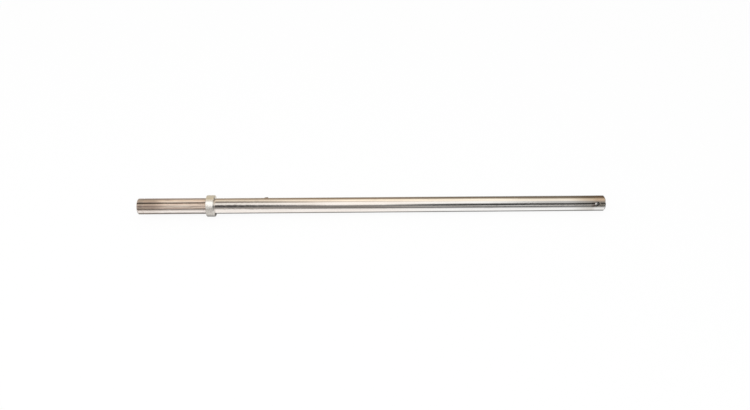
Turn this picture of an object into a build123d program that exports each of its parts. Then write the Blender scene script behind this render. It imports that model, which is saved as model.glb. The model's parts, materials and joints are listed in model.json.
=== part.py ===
from build123d import *
import os
from math import acos, cos, radians, sin, tan

# Machine shaft, in millimetres. The axis lies along X. The origin is on the axis at the collar's
# journal-side shoulder: the splined end points to -X and the plain journal to +X. +Z is up.

# Bar and journal
bar_diameter = 25.4
journal_length = 638.175
end_chamfer = 1.6

# Stop ring pressed on the bar against the inner end of the splines. Its shoulder height is
# measured from the journal, and its seat on the bar stands a little prouder than the journal,
# so that the ring slides freely along the journal and is tight only on its seat.
collar_shoulder = 4.7625
collar_width = 14.2875
collar_chamfer = 1.2
collar_bore_break = 0.4
seat_step = 0.2

# External straight-sided spline
tooth_count = 8
tooth_width = 5.6
tooth_depth = 1.5875
tooth_crest_break = 0.3
tooth_root_fillet = 0.4
splined_length = 109.5375
hob_radius = 31.75

# Retaining-ring groove across the teeth near the splined end
ring_groove_offset = 9.5
ring_groove_width = 1.4
ring_groove_depth = 0.76

# Cross hole near the plain end, turned about the shaft's axis from -Y towards +Z
cross_hole_diameter = 7.9375
cross_hole_offset = 14.2875
cross_hole_turn = 37.0
countersink_diameter = 9.525

# Centre-drilled holes in both end faces, from turning and grinding between centres
centre_cone_diameter = 6.35
centre_cone_angle = 60.0
centre_pilot_diameter = 3.175
centre_pilot_depth = 4.0

# Room that a cutting solid reaches past the surface it opens
cutter_reach = 2.0

bar_radius = bar_diameter / 2
root_radius = bar_radius - tooth_depth
seat_radius = bar_radius + seat_step
splined_end = -collar_width - splined_length
plain_end = journal_length


def turned_bar():
    """The round bar at its full length, with a chamfer turned on each end and the collar's seat."""
    profile = Polyline(
        (splined_end, 0),
        (splined_end, bar_radius - end_chamfer),
        (splined_end + end_chamfer, bar_radius),
        (-collar_width, bar_radius),
        (-collar_width, seat_radius),
        (0, seat_radius),
        (0, bar_radius),
        (plain_end - end_chamfer, bar_radius),
        (plain_end, bar_radius - end_chamfer),
        (plain_end, 0),
        close=True,
    )
    return revolve(make_face(profile), Axis.X)


def tooth_star(crest_radius):
    """Root circle with straight-sided teeth that reach out to crest_radius."""
    section = Circle(root_radius)
    for tooth in range(tooth_count):
        blank = Pos(crest_radius / 2, 0) * Rectangle(crest_radius, tooth_width)
        section += Rot(0, 0, tooth * 360 / tooth_count) * blank
    return Circle(crest_radius) & section


def corners_of(section, outer):
    """The section's corners on its crests, or on its root circle."""
    middle = bar_radius - tooth_depth / 2
    return [v for v in section.vertices() if (Vector(v).length > middle) == outer]


def exposed_section():
    """Section of the splines outside the collar, with broken crests and filleted roots."""
    section = tooth_star(bar_radius)
    section = chamfer(corners_of(section, True), tooth_crest_break)
    return fillet(corners_of(section, False), tooth_root_fillet)


def hidden_section():
    """Section that the hob leaves under the collar, where the teeth are cut from the seat."""
    section = tooth_star(seat_radius + cutter_reach)
    return fillet(corners_of(section, False), tooth_root_fillet)


def hobbed_ring():
    """The ring of metal that the hob reaches: full tooth depth over the exposed splines, and an
    arc of the hob's radius where the grooves rise and run out under the collar."""
    start = splined_end - cutter_reach
    full_depth_end = -collar_width
    outside = bar_radius + cutter_reach
    rise = outside - root_radius
    turn = acos((hob_radius - rise) / hob_radius)
    run_out = hob_radius * sin(turn)
    half_way = (
        full_depth_end + hob_radius * sin(turn / 2),
        root_radius + hob_radius * (1 - cos(turn / 2)),
    )
    edge = [
        Line((start, root_radius), (full_depth_end, root_radius)),
        ThreePointArc((full_depth_end, root_radius), half_way, (full_depth_end + run_out, outside)),
        Line((full_depth_end + run_out, outside), (start, outside)),
        Line((start, outside), (start, root_radius)),
    ]
    return revolve(make_face(Wire(edge)), Axis.X)


def spline_grooves():
    """The metal between the teeth, one solid for each groove."""
    outer_start = splined_end - 2 * cutter_reach
    outer = Plane(origin=(outer_start, 0, 0), x_dir=(0, 1, 0), z_dir=(1, 0, 0))
    inner = Plane(origin=(-collar_width, 0, 0), x_dir=(0, 1, 0), z_dir=(1, 0, 0))
    teeth = extrude(outer * exposed_section(), -collar_width - outer_start)
    teeth += extrude(inner * hidden_section(), collar_width + cutter_reach)
    return hobbed_ring() - teeth


def ring_groove():
    """Square-bottomed groove for a retaining ring, cut round the teeth."""
    middle = splined_end + ring_groove_offset + ring_groove_width / 2
    height = ring_groove_depth + cutter_reach
    section = Pos(middle, bar_radius - ring_groove_depth + height / 2) * Rectangle(ring_groove_width, height)
    return revolve(section, Axis.X)


def cross_hole():
    """Through hole square to the axis, with a countersink where it opens on each side."""
    countersink_depth = (countersink_diameter - cross_hole_diameter) / 2
    half = bar_radius - countersink_depth
    profile = Polyline(
        (0, 0),
        (cross_hole_diameter / 2, 0),
        (cross_hole_diameter / 2, half),
        (cross_hole_diameter / 2 + countersink_depth + cutter_reach, bar_radius + cutter_reach),
        (0, bar_radius + cutter_reach),
        close=True,
    )
    outward = (0, -cos(radians(cross_hole_turn)), sin(radians(cross_hole_turn)))
    drill_plane = Plane(origin=(plain_end - cross_hole_offset, 0, 0), x_dir=(1, 0, 0), z_dir=outward)
    one_side = revolve(Plane.XZ * make_face(profile), Axis.Z)
    both_sides = one_side + mirror(one_side, Plane.XY)
    return drill_plane * both_sides


def centre_hole(end_x, inward):
    """60 degree cone and pilot, drilled from the end face at end_x; inward is +1 or -1 along X."""
    cone_radius = centre_cone_diameter / 2
    pilot_radius = centre_pilot_diameter / 2
    cone_slope = tan(radians(centre_cone_angle / 2))
    cone_depth = (cone_radius - pilot_radius) / cone_slope
    full_depth = cone_depth + centre_pilot_depth
    profile = Polyline(
        (end_x - inward * cutter_reach, 0),
        (end_x - inward * cutter_reach, cone_radius + cutter_reach * cone_slope),
        (end_x + inward * cone_depth, pilot_radius),
        (end_x + inward * full_depth, pilot_radius),
        (end_x + inward * (full_depth + pilot_radius * cone_slope), 0),
        close=True,
    )
    return revolve(make_face(profile), Axis.X)


def shaft():
    """The bar with its splines, ring groove, cross hole and centre holes."""
    solid = turned_bar() - spline_grooves()
    solid -= ring_groove()
    solid -= cross_hole()
    solid -= centre_hole(splined_end, 1)
    solid -= centre_hole(plain_end, -1)
    return solid


def collar():
    """Stop ring whose bore is its seat's own diameter, with chamfered rims and broken bore edges."""
    outer = bar_radius + collar_shoulder
    profile = Polyline(
        (-collar_width, seat_radius + collar_bore_break),
        (-collar_width, outer - collar_chamfer),
        (-collar_width + collar_chamfer, outer),
        (-collar_chamfer, outer),
        (0, outer - collar_chamfer),
        (0, seat_radius + collar_bore_break),
        (-collar_bore_break, seat_radius),
        (-collar_width + collar_bore_break, seat_radius),
        close=True,
    )
    return revolve(make_face(profile), Axis.X)


os.makedirs("parts", exist_ok=True)
export_step(shaft(), "parts/shaft.step")
export_step(collar(), "parts/collar.step")
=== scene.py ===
"""Looks of the splined machine shaft: the bar and its stop collar, on a pale floor in a soft studio.

Every length is in metres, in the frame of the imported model: the shaft's axis is X, +Z is up, and the
origin is on the axis at the collar's journal-side shoulder. Angles round the axis are measured from
+Y towards +Z, so 90 degrees is straight up and 180 degrees faces -Y.
"""

import json
import logging
from dataclasses import dataclass
from enum import Enum
from math import acos, cos, radians, sin, tan
from typing import Any, Sequence

import bmesh
import bpy
import numpy as np
from mathutils import Matrix, Vector


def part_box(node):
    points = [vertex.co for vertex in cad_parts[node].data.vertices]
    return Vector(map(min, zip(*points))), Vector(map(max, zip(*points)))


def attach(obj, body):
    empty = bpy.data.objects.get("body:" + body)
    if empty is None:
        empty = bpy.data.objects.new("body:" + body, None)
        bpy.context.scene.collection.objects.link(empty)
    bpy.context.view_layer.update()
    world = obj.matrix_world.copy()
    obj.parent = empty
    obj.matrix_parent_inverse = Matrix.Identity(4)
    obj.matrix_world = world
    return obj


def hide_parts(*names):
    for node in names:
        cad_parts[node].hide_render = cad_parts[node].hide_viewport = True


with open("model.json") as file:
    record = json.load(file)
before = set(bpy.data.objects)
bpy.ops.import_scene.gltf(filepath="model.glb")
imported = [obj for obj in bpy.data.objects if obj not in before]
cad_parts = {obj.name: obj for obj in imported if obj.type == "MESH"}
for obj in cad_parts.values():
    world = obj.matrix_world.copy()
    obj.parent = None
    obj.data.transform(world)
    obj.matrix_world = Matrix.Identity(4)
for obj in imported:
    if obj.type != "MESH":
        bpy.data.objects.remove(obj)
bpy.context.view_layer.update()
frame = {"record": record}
log = logging.getLogger("machine_shaft")

MILLI = 0.001
PHOTO_WIDTH = 750
UP_AND_BACK = radians(45.0)
TO_CAMERA = radians(135.0)
Colour = tuple[float, float, float]
WHITE: Colour = (1.0, 1.0, 1.0)
Socket = bpy.types.NodeSocket
Value = Socket | float | Colour


def mount(name: str) -> dict[str, Any]:
    """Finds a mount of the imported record.

    Args:
        name: The mount's name.

    Returns:
        The mount's own entry.
    """
    return next(entry for entry in frame["record"]["mounts"] if entry["name"] == name)


class Skin:
    """One closed surface, gathered patch by patch and welded where the patches meet."""

    WELD = 1e-7

    def __init__(self) -> None:
        """Starts with no points and no faces."""
        self.points: list[np.ndarray] = []
        self.quads: list[np.ndarray] = []
        self.count = 0

    def add_patch(self, grid: np.ndarray, drop: np.ndarray | None = None) -> None:
        """Adds a patch whose point (i, j) is joined to (i + 1, j) and (i, j + 1).

        Args:
            grid: Points, as rows by columns by 3. A patch that goes right round repeats its first column.
            drop: True for each cell, as rows - 1 by columns - 1, that is left open.
        """
        rows, columns = grid.shape[:2]
        index = np.arange(rows * columns).reshape(rows, columns) + self.count
        corners = (index[:-1, :-1], index[:-1, 1:], index[1:, 1:], index[1:, :-1])
        cells = np.stack(corners, axis=-1)
        kept = cells.reshape(-1, 4) if drop is None else cells[~drop]
        self.points.append(grid.reshape(-1, 3))
        self.quads.append(kept)
        self.count += rows * columns

    def make_object(self, name: str, sharp_degrees: float) -> bpy.types.Object:
        """Welds the patches, drops the corners that fell together and turns every face outwards.

        Args:
            name: The new object's name.
            sharp_degrees: Edges that turn by more than this are drawn sharp.

        Returns:
            The object, at the origin, unturned and unscaled.
        """
        points = np.concatenate(self.points)
        keys = np.round(points / self.WELD).astype(np.int64)
        _, first, inverse = np.unique(keys, axis=0, return_index=True, return_inverse=True)
        quads = inverse.reshape(-1)[np.concatenate(self.quads)]
        kept = quads != np.roll(quads, -1, axis=1)
        whole = kept.sum(axis=1) >= 3
        totals = kept[whole].sum(axis=1)
        loops = quads[whole][kept[whole]]
        mesh = bpy.data.meshes.new(name)
        mesh.vertices.add(len(first))
        mesh.vertices.foreach_set("co", points[first].astype(np.float32).ravel())
        mesh.loops.add(len(loops))
        mesh.loops.foreach_set("vertex_index", loops.astype(np.int32))
        mesh.polygons.add(len(totals))
        starts = np.concatenate(([0], np.cumsum(totals)[:-1]))
        mesh.polygons.foreach_set("loop_start", starts.astype(np.int32))
        mesh.update(calc_edges=True)
        mesh.validate()
        work = bmesh.new()
        work.from_mesh(mesh)
        bmesh.ops.recalc_face_normals(work, faces=work.faces)
        work.to_mesh(mesh)
        work.free()
        mesh.polygons.foreach_set("use_smooth", np.ones(len(mesh.polygons), dtype=bool))
        mesh.set_sharp_from_angle(angle=radians(sharp_degrees))
        piece = bpy.data.objects.new(name, mesh)
        bpy.context.scene.collection.objects.link(piece)
        return piece


def smooth_step(value: np.ndarray) -> np.ndarray:
    """Returns 3 t squared - 2 t cubed, with t the value held between 0 and 1."""
    t = np.clip(value, 0.0, 1.0)
    return t * t * (3.0 - 2.0 * t)


def mixed(first: np.ndarray, second: np.ndarray | float, share: np.ndarray) -> np.ndarray:
    """Returns 1 less the share times the first, plus the share times the second."""
    return (1 - share) * first + share * second


def smooth_maximum(a: np.ndarray, b: np.ndarray, reach: float) -> np.ndarray:
    """Takes the larger of two fields, rounded where they cross.

    The larger value, plus h squared over 4 reach, where h is reach less their difference and never
    under 0. This is the hollow fillet between a tooth's flank and its root.

    Args:
        a: First field.
        b: Second field.
        reach: Difference at which the rounding starts.

    Returns:
        The rounded maximum.
    """
    h = np.maximum(reach - np.abs(a - b), 0.0)
    return np.maximum(a, b) + h * h / (4.0 * reach)


def rounded_corners(corners: Sequence[tuple[float, float, float]], steps: int) -> np.ndarray:
    """Rounds the corners of an open outline, each with a quadratic curve.

    Round corner C, with P and Q on its two sides at the corner's own distance, the curve is
    (1 - t) squared P + 2 t (1 - t) C + t squared Q.

    Args:
        corners: Along, out and rounding distance of each corner; the two ends stay sharp.
        steps: Points for each rounded corner.

    Returns:
        The outline's points, as count by 2.
    """
    data = np.array(corners)
    place = data[:, :2]
    inner = place[1:-1]
    back = place[:-2] - inner
    ahead = place[2:] - inner
    distance = data[1:-1, 2:3]
    p = inner + back / np.linalg.norm(back, axis=1, keepdims=True) * distance
    q = inner + ahead / np.linalg.norm(ahead, axis=1, keepdims=True) * distance
    t = np.linspace(0.0, 1.0, steps)[None, :, None]
    curves = (1 - t) ** 2 * p[:, None] + 2 * t * (1 - t) * inner[:, None] + t**2 * q[:, None]
    return np.concatenate((place[:1], curves.reshape(-1, 2), place[-1:]))


def with_supports(outline: np.ndarray, inset: float) -> np.ndarray:
    """Adds a point close to each end of an outline's long stretches, so that flat faces are shaded flat.

    A stretch is long if it is more than four insets.

    Args:
        outline: Points, as count by 2.
        inset: Distance of the added points from the stretch's ends.

    Returns:
        The outline with its added points.
    """
    length = np.linalg.norm(np.diff(outline, axis=0), axis=1)
    reached = np.concatenate(([0.0], np.cumsum(length)))
    long = length > 4 * inset
    every = np.sort(np.concatenate((reached, reached[:-1][long] + inset, reached[1:][long] - inset)))
    return np.stack([np.interp(every, reached, outline[:, axis]) for axis in (0, 1)], axis=1)


def turned_points(along: np.ndarray, radius: np.ndarray, angle: np.ndarray) -> np.ndarray:
    """Places points round the shaft's axis: x, radius times cosine and radius times sine."""
    return np.stack(np.broadcast_arrays(along, radius * np.cos(angle), radius * np.sin(angle)), axis=-1)


@dataclass(frozen=True)
class Ramp:
    """A smooth step between two places in millimetres, from one share to another."""

    low: float
    high: float
    before: float = 0.0
    after: float = 1.0

    def over(self, place: np.ndarray) -> np.ndarray:
        """Returns the ramp's share at places in metres: before, plus the smooth step to after."""
        step = smooth_step((place - self.low * MILLI) / ((self.high - self.low) * MILLI))
        return self.before + (self.after - self.before) * step


@dataclass(frozen=True)
class Stretch:
    """A stretch in millimetres that rises smoothly, stays full and falls to what is left past it."""

    rise_from: float
    full_from: float
    full_to: float
    fall_to: float
    left: float = 0.0

    @property
    def rise(self) -> Ramp:
        """The ramp from nothing to full."""
        return Ramp(self.rise_from, self.full_from)

    @property
    def fall(self) -> Ramp:
        """The ramp from full to what is left."""
        return Ramp(self.full_to, self.fall_to, 1.0, self.left)


@dataclass(frozen=True)
class Patches:
    """Patches of noise: size in millimetres, how far they are drawn out along the axis, and limits."""

    size: float
    draw_out: float
    detail: float
    low: float = 0.0
    high: float = 1.0


@dataclass(frozen=True)
class Coat:
    """A colour that lies over another, and how much of it shows where its mask is full."""

    colour: Colour
    strength: float = 1.0


class Tree:
    """Short hand for adding and linking the nodes of one node tree."""

    # A Mix node's inputs for its share and two numbers, and for its share and two colours
    MIX_NUMBERS = (0, 2, 3)
    MIX_COLOURS = (0, 6, 7)

    def __init__(self, tree: bpy.types.NodeTree) -> None:
        """Empties the tree.

        Args:
            tree: The node tree to fill.
        """
        self.tree = tree
        tree.nodes.clear()

    def node(self, kind: str, values: dict[str | int, Value] | None = None,
             **settings: Any) -> bpy.types.Node:
        """Adds a node.

        Args:
            kind: The node's type name.
            values: Input name or number to a value, or to a socket that is linked to it.
            **settings: Properties of the node itself.

        Returns:
            The new node.
        """
        made = self.tree.nodes.new(kind)
        for key, value in settings.items():
            setattr(made, key, value)
        for key, value in (values or {}).items():
            self.feed(made.inputs[key], value)
        return made

    def feed(self, target: Socket, value: Value) -> None:
        """Links a socket to an input, or sets the input's own value.

        Args:
            target: The input.
            value: A socket, a number, a direction, or a colour, which is made opaque.
        """
        if isinstance(value, Socket):
            self.tree.links.new(value, target)
        elif isinstance(value, tuple) and target.type == "RGBA":
            target.default_value = (*value, 1.0)
        else:
            target.default_value = value

    def math(self, operation: str, *values: Value) -> Socket:
        """Adds a Math node and returns its result."""
        return self.node("ShaderNodeMath", dict(enumerate(values)), operation=operation).outputs[0]

    def times(self, *values: Value) -> Socket:
        """Multiplies two or more values.

        Args:
            *values: Numbers or masks, one of them at least a socket.

        Returns:
            Their product.
        """
        product = values[0]
        for value in values[1:]:
            product = self.math("MULTIPLY", product, value)
        return product

    def between(self, value: Value, low: Value, high: Value,
                out: tuple[float, float] = (0.0, 1.0)) -> Socket:
        """Maps low to high onto out with a smooth step, held at both ends, and returns it."""
        ends = {"From Min": low, "From Max": high, "To Min": out[0], "To Max": out[1], "Value": value}
        return self.node("ShaderNodeMapRange", ends, interpolation_type="SMOOTHSTEP").outputs[0]

    def ramp(self, value: Value, ramp: Ramp, origin: float = 0.0) -> Socket:
        """Masks a value with a ramp whose places are measured from an origin, and returns the mask."""
        ends = origin + ramp.low * MILLI, origin + ramp.high * MILLI
        return self.between(value, *ends, (ramp.before, ramp.after))

    def stretch(self, value: Value, stretch: Stretch, origin: float = 0.0) -> Socket:
        """Masks a value with a stretch, its rise times its fall, and returns the mask."""
        return self.times(self.ramp(value, stretch.rise, origin), self.ramp(value, stretch.fall, origin))

    def mix(self, share: Value, first: Value, second: Value) -> Socket:
        """Mixes two numbers and returns the result."""
        values = dict(zip(self.MIX_NUMBERS, (share, first, second)))
        return self.node("ShaderNodeMix", values).outputs[0]

    def blend(self, share: Value, first: Value, second: Value, how: str = "MIX") -> Socket:
        """Mixes two colours, or blends them in the way that how names, and returns the colour."""
        values = dict(zip(self.MIX_COLOURS, (share, first, second)))
        return self.node("ShaderNodeMix", values, data_type="RGBA", blend_type=how).outputs[2]

    def cover(self, under: Value, coat: Coat, *shares: Value) -> Socket:
        """Lays a coat over a colour, by the product of its shares and its strength; returns the colour."""
        return self.blend(self.times(*shares, coat.strength), under, coat.colour)

    def group(self, tree: bpy.types.NodeTree, **values: Value) -> Socket:
        """Places a node group and returns its result; an underscore in a keyword stands for a space."""
        inputs = {key.replace("_", " "): value for key, value in values.items()}
        return self.node("ShaderNodeGroup", inputs, node_tree=tree).outputs[0]


def new_group(name: str, inputs: dict[str, str], output: str) -> tuple[Tree, Any, Socket]:
    """Makes an empty shader node group with one result.

    Args:
        name: The group's name.
        inputs: Input name to the last word of its socket type.
        output: The name of its one result, a number.

    Returns:
        The tree, its input sockets by name and its output's socket.
    """
    group = bpy.data.node_groups.new(name, "ShaderNodeTree")
    for label, kind in inputs.items():
        group.interface.new_socket(label, in_out="INPUT", socket_type=f"NodeSocket{kind}")
    group.interface.new_socket(output, in_out="OUTPUT", socket_type="NodeSocketFloat")
    tree = Tree(group)
    return tree, tree.node("NodeGroupInput").outputs, tree.node("NodeGroupOutput").inputs[output]


class Effects:
    """The node groups that the bar's and the collar's finishes share, each built once."""

    CLOUD_ROUGHNESS = 0.55
    LINE_DETAIL = 3.0
    LINE_ROUGHNESS = 0.7

    def __init__(self) -> None:
        """Builds the three groups."""
        self.clouds = self.build_clouds()
        self.tool_lines = self.build_tool_lines()
        self.axis_distance = self.build_axis_distance()

    def build_clouds(self) -> bpy.types.NodeTree:
        """Builds soft patches that can be drawn out along the axis: haze, stain or grain.

        Noise of the place over Size, along the axis also over Draw Out, then a smooth step from Low to
        High.

        Returns:
            The group's tree.
        """
        inputs = {"Place": "Vector"} | dict.fromkeys(("Size", "Draw Out", "Detail", "Low", "High"), "Float")
        tree, given, result = new_group("clouds", inputs, "Mask")
        scale = tree.math("DIVIDE", 1.0, given["Size"])
        along = tree.math("DIVIDE", scale, given["Draw Out"])
        axes = tree.node("ShaderNodeCombineXYZ", {"X": along, "Y": scale, "Z": scale})
        values = {0: given["Place"], 1: axes.outputs[0]}
        place = tree.node("ShaderNodeVectorMath", values, operation="MULTIPLY").outputs[0]
        values = {"Vector": place, "Scale": 1.0, "Detail": given["Detail"]}
        noise = tree.node("ShaderNodeTexNoise", values | {"Roughness": self.CLOUD_ROUGHNESS}).outputs[0]
        tree.feed(result, tree.between(noise, given["Low"], given["High"]))
        return tree.tree

    def build_tool_lines(self) -> bpy.types.NodeTree:
        """Builds the rings that a tool or a grinding wheel leaves: noise of X over Pitch.

        Returns:
            The group's tree.
        """
        tree, given, result = new_group("tool_lines", {"Place": "Vector", "Pitch": "Float"}, "Height")
        split = tree.node("ShaderNodeSeparateXYZ", {0: given["Place"]})
        along = tree.math("DIVIDE", split.outputs["X"], given["Pitch"])
        values = {"W": along, "Scale": 1.0, "Detail": self.LINE_DETAIL, "Roughness": self.LINE_ROUGHNESS}
        tree.feed(result, tree.node("ShaderNodeTexNoise", values, noise_dimensions="1D").outputs[0])
        return tree.tree

    def build_axis_distance(self) -> bpy.types.NodeTree:
        """Builds the distance from the shaft's axis: the root of Y squared plus Z squared.

        Returns:
            The group's tree.
        """
        tree, given, result = new_group("axis_distance", {"Place": "Vector"}, "Distance")
        across = {0: given["Place"], 1: (0.0, 1.0, 1.0)}
        flat = tree.node("ShaderNodeVectorMath", across, operation="MULTIPLY").outputs[0]
        length = tree.node("ShaderNodeVectorMath", {0: flat}, operation="LENGTH")
        tree.feed(result, length.outputs["Value"])
        return tree.tree


class MaterialTree(Tree):
    """A new material's tree, with the place on the object at hand."""

    def __init__(self, name: str) -> None:
        """Makes the material.

        Args:
            name: The material's name.
        """
        self.material = bpy.data.materials.new(name)
        self.material.use_nodes = True
        super().__init__(self.material.node_tree)
        self.place = self.node("ShaderNodeTexCoord").outputs["Object"]
        self.along, self.across, self.height = self.node("ShaderNodeSeparateXYZ", {0: self.place}).outputs


class SteelTree(MaterialTree):
    """A steel's material, with the shared node groups at hand."""

    def __init__(self, name: str, effects: Effects) -> None:
        """Makes the material.

        Args:
            name: The material's name.
            effects: The shared node groups.
        """
        super().__init__(name)
        self.effects = effects
        self.tilted = self.towards(UP_AND_BACK)

    def towards(self, angle: float) -> Socket:
        """Returns how far a place lies from the axis towards an angle round it."""
        ahead = {0: self.place, 1: (0.0, cos(angle), sin(angle))}
        return self.node("ShaderNodeVectorMath", ahead, operation="DOT_PRODUCT").outputs["Value"]

    def clouds(self, patches: Patches) -> Socket:
        """Places the clouds group with the values of some patches.

        Args:
            patches: The patches.

        Returns:
            Their mask.
        """
        return self.group(self.effects.clouds, Place=self.place, Size=patches.size * MILLI,
                          Draw_Out=patches.draw_out, Detail=patches.detail,
                          Low=patches.low, High=patches.high)

    def ragged_along(self, patches: Patches, reach: float) -> Socket:
        """Returns the place along the axis, shifted by up to a reach in patches, for a ragged border."""
        return self.math("MULTIPLY_ADD", self.clouds(patches), reach, self.along)

    def relief(self, height: Socket, depth: float, under: Socket | None = None) -> Socket:
        """Adds a Bump node.

        Args:
            height: The relief's height, from 0 to 1.
            depth: What the height's full range comes to, in metres.
            under: The normal of an earlier relief that this one lies on.

        Returns:
            The normal.
        """
        values = {"Height": height, "Distance": depth, "Strength": 1.0}
        if under is not None:
            values["Normal"] = under
        return self.node("ShaderNodeBump", values).outputs[0]

    def complete(self, colour: Socket, roughness: Socket, metal: Socket,
                 normal: Socket) -> bpy.types.Material:
        """Adds the shader and the material's output.

        Args:
            colour: The base colour.
            roughness: The roughness.
            metal: How metallic the surface is.
            normal: The normal.

        Returns:
            The finished material.
        """
        shader = self.node("ShaderNodeBsdfPrincipled", {"Base Color": colour, "Roughness": roughness,
                                                        "Metallic": metal, "Normal": normal})
        self.node("ShaderNodeOutputMaterial", {"Surface": shader.outputs[0]})
        return self.material


@dataclass(frozen=True)
class BarZones:
    """Masks over the bar that its colour, roughness, metal and relief share."""

    distance: Socket
    upper: Socket
    top: Socket
    splined: Socket
    inner: Socket
    floor: Socket
    plain: Socket
    in_hole: Socket
    lit_wall: Socket
    haze: Socket
    stain: Socket


@dataclass(frozen=True)
class BarFinish:
    """Ground and polished journal; satin tan splines with dirt and painted shade in their grooves, and
    painted highlights and dark reflections on their front teeth; and a dull plain end.

    Ramps and stretches are measured along the axis from the origin, unless their name or the comment
    over them says otherwise. Height is measured up from the axis, and tilt from the axis up and back,
    at 45 degrees, which is up in the camera's picture.
    """

    journal_colour: Colour = (0.95, 0.94, 0.925)
    journal_haze: Coat = Coat((0.88, 0.85, 0.82))
    warm_tint: Colour = (1.0, 0.948, 0.91)
    dull_colour: Colour = (0.68, 0.65, 0.605)
    dull_top: Coat = Coat((0.62, 0.545, 0.47))
    # Tan on top, partly tarnish and partly a painted warm reflection; painted shade on the underside
    spline_colour: Coat = Coat((0.94, 0.76, 0.635))
    spline_pale: Colour = (0.94, 0.87, 0.82)
    spline_under_shade: Coat = Coat((0.34, 0.31, 0.29))
    spline_stain: Coat = Coat((0.50, 0.39, 0.31))
    # Painted sheen: warm highlight streaks on the upper teeth
    spline_sheen: Coat = Coat((1.0, 0.87, 0.74), 0.85)
    # Painted dark reflection along the splines' top edge
    spline_top_edge_shade: Coat = Coat((0.36, 0.29, 0.245), 0.9)
    tip_colour: Coat = Coat((0.47, 0.39, 0.325), 0.6)
    # Painted dark reflection on the front tooth near the tip
    front_dark_reflection: Coat = Coat((0.42, 0.29, 0.24), 0.9)
    # Painted highlights along the front teeth
    painted_highlight: Coat = Coat((1.0, 0.87, 0.74), 0.95)
    # Dark in the spline's grooves: partly dirt, partly painted shade in their corners
    groove_dirt_and_shade: Coat = Coat((0.11, 0.08, 0.06))
    end_colour: Coat = Coat((0.58, 0.47, 0.385))
    end_grey: Colour = (0.50, 0.46, 0.40)
    end_pale: Colour = (0.84, 0.82, 0.79)
    smudge_colour: Coat = Coat((0.33, 0.25, 0.22), 0.9)
    burr_colour: Coat = Coat((0.30, 0.23, 0.18), 0.85)
    # Painted shade on the cross hole's drilled half, painted light on its far half
    hole_shade: Colour = (0.05, 0.035, 0.025)
    hole_lit: Coat = Coat((0.95, 0.93, 0.90))

    journal_roughness: float = 0.12
    haze_roughness: float = 0.05
    spline_roughness: float = 0.30
    stain_roughness: float = 0.12
    floor_roughness: float = 0.20
    hole_roughness: float = 0.45
    end_roughness: float = 0.25
    spline_metal: float = 0.65
    flank_metal: float = 0.15
    floor_metal: float = 0.95
    lit_wall_metal: float = 0.7

    line_pitch: float = 0.5 * MILLI
    line_depth: float = 0.002 * MILLI
    wave_depth: float = 0.10 * MILLI
    ripple_depth: float = 0.10 * MILLI
    ripple_everywhere: float = 0.16
    ripple_patchy: float = 0.65
    ripple_rubbed: float = 0.8
    stain_inside: float = 0.6
    stain_at_tip: float = 0.85
    stain_below: float = 0.3
    dirt_and_shade_at_tip: float = 0.97
    dirt_and_shade_inside: float = 0.82
    ragged_reach: float = 6 * MILLI

    upper_height: Ramp = Ramp(2.5, 6.0)
    top_height: Ramp = Ramp(9.0, 11.5)
    below_height: Ramp = Ramp(-6.0, -4.2, 1.0, 0.0)
    dirt_and_shade_height: Ramp = Ramp(5.0, 8.0, 0.95, 1.0)
    smudge_height: Stretch = Stretch(2.0, 5.0, 9.0, 11.0)
    edge_tilt: Ramp = Ramp(10.0, 11.4)
    highlight_tilt: Stretch = Stretch(5.5, 6.1, 7.6, 8.6)
    warm_along: Ramp = Ramp(240.0, 420.0, 1.0, 0.0)
    rubbed_along: Stretch = Stretch(8.0, 16.0, 60.0, 105.0)
    # From the plain end
    dull_reach: Ramp = Ramp(-70.0, -20.0)
    plain_reach: Ramp = Ramp(-20.0, -11.0)
    # From the foot of the plain end's chamfer
    rim_reach: Ramp = Ramp(-0.3, 0.0)
    # From the ring groove's inner wall
    inner_reach: Ramp = Ramp(12.0, 40.0)
    # From the splined end
    face_reach: Ramp = Ramp(0.1, 0.5)
    dark_reflection_reach: Ramp = Ramp(22.0, 46.0, 1.0, 0.0)
    long_highlight: Stretch = Stretch(32.0, 48.0, 66.0, 102.0, 0.3)
    short_highlight: Stretch = Stretch(56.0, 66.0, 78.0, 90.0)
    # From the cross hole's middle, along the shaft and along the hole
    smudge_reach: Stretch = Stretch(-12.0, -7.0, -3.0, 1.0)
    lit_depth: Ramp = Ramp(-3.0, 3.0, 1.0, 0.0)
    # From the bar's radius
    hole_wall: Ramp = Ramp(-0.8, -0.2, 1.0, 0.0)
    flank_wall: Ramp = Ramp(-0.55, -0.35, 1.0, 0.0)
    burr_wall: Ramp = Ramp(0.1, 0.4)
    # From the grooves' bottom
    floor_wall: Ramp = Ramp(0.2, 0.5, 1.0, 0.0)
    dirt_and_shade_wall: Ramp = Ramp(0.1, 0.4, 1.0, 0.0)
    # Round the axis from a groove's middle
    dirt_and_shade_border: tuple[float, float] = (-radians(1.5), radians(2.0))
    # From the middle line of the tooth that faces the camera, and from the axis towards the camera
    crest_middle: Ramp = Ramp(0.4, 1.2, 1.0, 0.0)
    crest_front: Ramp = Ramp(0.0, 4.0)

    ragged: Patches = Patches(9.0, 1.0, 3.0, 0.2, 0.8)
    haze: Patches = Patches(6.0, 14.0, 4.0, 0.35, 0.75)
    stain: Patches = Patches(2.6, 9.0, 4.0, 0.42, 0.66)
    sheen_streaks: Patches = Patches(2.0, 14.0, 2.0, 0.52, 0.66)
    blots: Patches = Patches(2.2, 1.5, 4.0, 0.38, 0.50)
    wave: Patches = Patches(11.0, 6.0, 1.0)
    ripple: Patches = Patches(3.0, 1.6, 2.0)
    patchy: Patches = Patches(14.0, 3.0, 1.0, 0.50, 0.75)

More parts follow.
